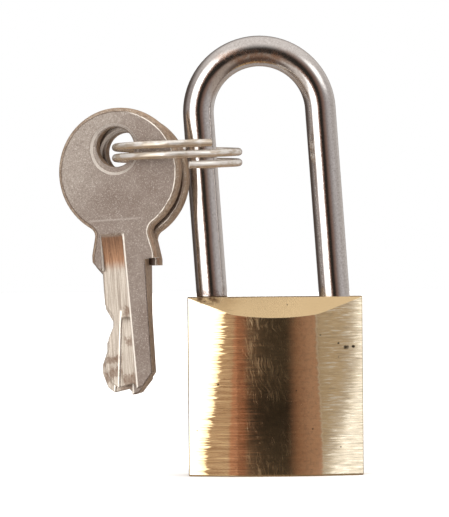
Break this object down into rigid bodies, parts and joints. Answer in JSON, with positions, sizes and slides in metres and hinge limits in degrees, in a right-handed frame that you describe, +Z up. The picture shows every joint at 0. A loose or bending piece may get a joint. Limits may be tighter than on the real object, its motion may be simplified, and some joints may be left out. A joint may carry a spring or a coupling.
{
  "type": "padlock",
  "caption": "Small brass padlock with a long steel shackle that lifts and swings, a pin-tumbler plug, a spring bolt, and flat keys on a split ring.",
  "frame": {"origin": "middle of the body's flat underside, on the plug's axis", "axes": "+Z up along the plug's axis towards the shackle, +X towards the heel leg, -Y out of the face that the picture shows"},
  "size_m": [0.0433, 0.0186, 0.0629],
  "materials": {
    "body_brass": "satin",
    "plug_brass": "satin",
    "slug_brass": "satin",
    "pin_brass": "satin",
    "shackle_chrome": "polished",
    "ring_nickel": "gloss",
    "key_nickel": "satin",
    "pin_steel": "satin",
    "spring_steel": "satin"
  },
  "bodies": {
    "lock_body": {"lock_body": "body_brass", "shackle_retaining_pin": "pin_steel", "plug_retaining_pin": "slug_brass", "bolt_bore_plug": "slug_brass", "chamber_plugs": "slug_brass", "bolt_spring": "spring_steel", "driver_spring_1": "spring_steel", "driver_spring_2": "spring_steel", "driver_spring_3": "spring_steel", "driver_spring_4": "spring_steel"},
    "shackle_spring": {"shackle_spring": "spring_steel"},
    "shackle": {"shackle": "shackle_chrome"},
    "split_ring": {"split_ring": "ring_nickel"},
    "key_front": {"key_front": "key_nickel"},
    "key_rear": {"key_rear": "key_nickel"},
    "plug": {"plug": "plug_brass"},
    "bolt": {"bolt": "pin_steel"},
    "key_pin_1": {"key_pin_1": "pin_brass"},
    "driver_pin_1": {"driver_pin_1": "pin_brass"},
    "key_pin_2": {"key_pin_2": "pin_brass"},
    "driver_pin_2": {"driver_pin_2": "pin_brass"},
    "key_pin_3": {"key_pin_3": "pin_brass"},
    "driver_pin_3": {"driver_pin_3": "pin_brass"},
    "key_pin_4": {"key_pin_4": "pin_brass"},
    "driver_pin_4": {"driver_pin_4": "pin_brass"}
  },
  "joints": [
    {"name": "shackle_lift", "type": "slide", "parent": "lock_body", "child": "shackle_spring", "axis": [-0.0663, 0, 0.9978], "range_m": [-0.005, 0], "stiffness_N_per_m": 300, "springref_m": 0.004, "deforming": ["shackle_spring"]},
    {"name": "shackle_swing", "type": "hinge", "parent": "shackle_spring", "child": "shackle", "pos_m": [0.00853, 0, 0.02608], "axis": [-0.0663, 0, 0.9978], "range_deg": [-180, 180]},
    {"name": "ring_turn", "type": "hinge", "parent": "shackle", "child": "split_ring", "pos_m": [-0.00893, 0, 0.02492], "axis": [-0.0663, 0, 0.9978], "range_deg": [-60, 60]},
    {"name": "key_front_swing", "type": "hinge", "parent": "split_ring", "child": "key_front", "pos_m": [-0.02243, -0.0012, 0.04714], "axis": [-0.3256, -0.9455, 0], "range_deg": [-40, 3]},
    {"name": "key_rear_swing", "type": "hinge", "parent": "split_ring", "child": "key_rear", "pos_m": [-0.02112, 0.00063, 0.04634], "axis": [-0.3256, -0.9455, 0], "range_deg": [-40, 3]},
    {"name": "plug_turn", "type": "hinge", "parent": "lock_body", "child": "plug", "pos_m": [0, 0, 0], "axis": [0, 0, 1], "range_deg": [-85, 0]},
    {"name": "bolt_slide", "type": "slide", "parent": "lock_body", "child": "bolt", "axis": [-1, 0, 0], "range_m": [0, 0.00156], "deforming": ["bolt_spring"]},
    {"name": "driver_pin_1_slide", "type": "slide", "parent": "lock_body", "child": "driver_pin_1", "axis": [-1, 0, 0], "range_m": [0, 0.0015], "stiffness_N_per_m": 100, "springref_m": -0.003, "deforming": ["driver_spring_1"]},
    {"name": "key_pin_1_slide", "type": "slide", "parent": "plug", "child": "key_pin_1", "axis": [0.0872, 0.9962, 0], "range_m": [0, 0.0008]},
    {"name": "driver_pin_2_slide", "type": "slide", "parent": "lock_body", "child": "driver_pin_2", "axis": [-1, 0, 0], "range_m": [0, 0.0015], "stiffness_N_per_m": 100, "springref_m": -0.003, "deforming": ["driver_spring_2"]},
    {"name": "key_pin_2_slide", "type": "slide", "parent": "plug", "child": "key_pin_2", "axis": [0.0872, 0.9962, 0], "range_m": [0, 0.0008]},
    {"name": "driver_pin_3_slide", "type": "slide", "parent": "lock_body", "child": "driver_pin_3", "axis": [-1, 0, 0], "range_m": [0, 0.0015], "stiffness_N_per_m": 100, "springref_m": -0.003, "deforming": ["driver_spring_3"]},
    {"name": "key_pin_3_slide", "type": "slide", "parent": "plug", "child": "key_pin_3", "axis": [0.0872, 0.9962, 0], "range_m": [0, 0.0008]},
    {"name": "driver_pin_4_slide", "type": "slide", "parent": "lock_body", "child": "driver_pin_4", "axis": [-1, 0, 0], "range_m": [0, 0.0015], "stiffness_N_per_m": 100, "springref_m": -0.003, "deforming": ["driver_spring_4"]},
    {"name": "key_pin_4_slide", "type": "slide", "parent": "plug", "child": "key_pin_4", "axis": [0.0872, 0.9962, 0], "range_m": [0, 0.0008]}
  ],
  "couplings": [
    {"joint": "bolt_slide", "follows": "plug_turn", "m_per_rad": -0.0010474}
  ]
}
